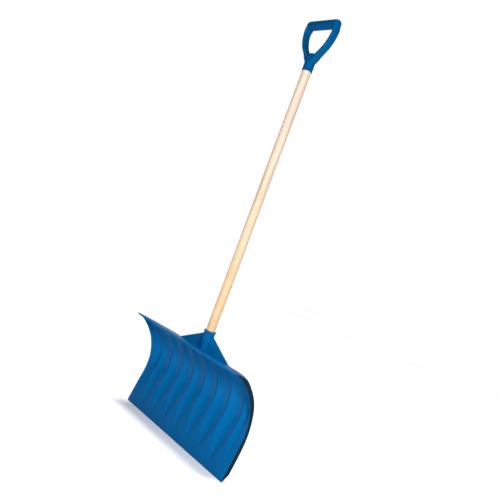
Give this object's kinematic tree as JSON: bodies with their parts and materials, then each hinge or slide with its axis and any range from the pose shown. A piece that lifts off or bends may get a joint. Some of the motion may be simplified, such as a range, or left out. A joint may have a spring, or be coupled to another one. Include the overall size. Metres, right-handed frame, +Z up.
{
  "type": "snow shovel",
  "caption": "Wide curved snow shovel: fluted one-piece pusher blade with a gusseted socket, straight round pole and D-shaped grip.",
  "frame": {"origin": "middle of the underside of the grip's bar, where the shovel hangs from a hook or peg", "axes": "+Z up along the handle towards the grip, the blade's hollow side faces -Y, X across the blade"},
  "size_m": [0.61, 0.1197, 1.374],
  "materials": {
    "blade_plastic": "blue moulded polyethylene, satin gloss",
    "handle_wood": "pale ash, clear lacquer",
    "grip_plastic": "blue moulded plastic, satin gloss",
    "screw_zinc": "bright zinc plate"
  },
  "bodies": {
    "root": {"blade": "blade_plastic", "handle": "handle_wood", "grip": "grip_plastic", "handle_screws": "screw_zinc"}
  },
  "joints": []
}
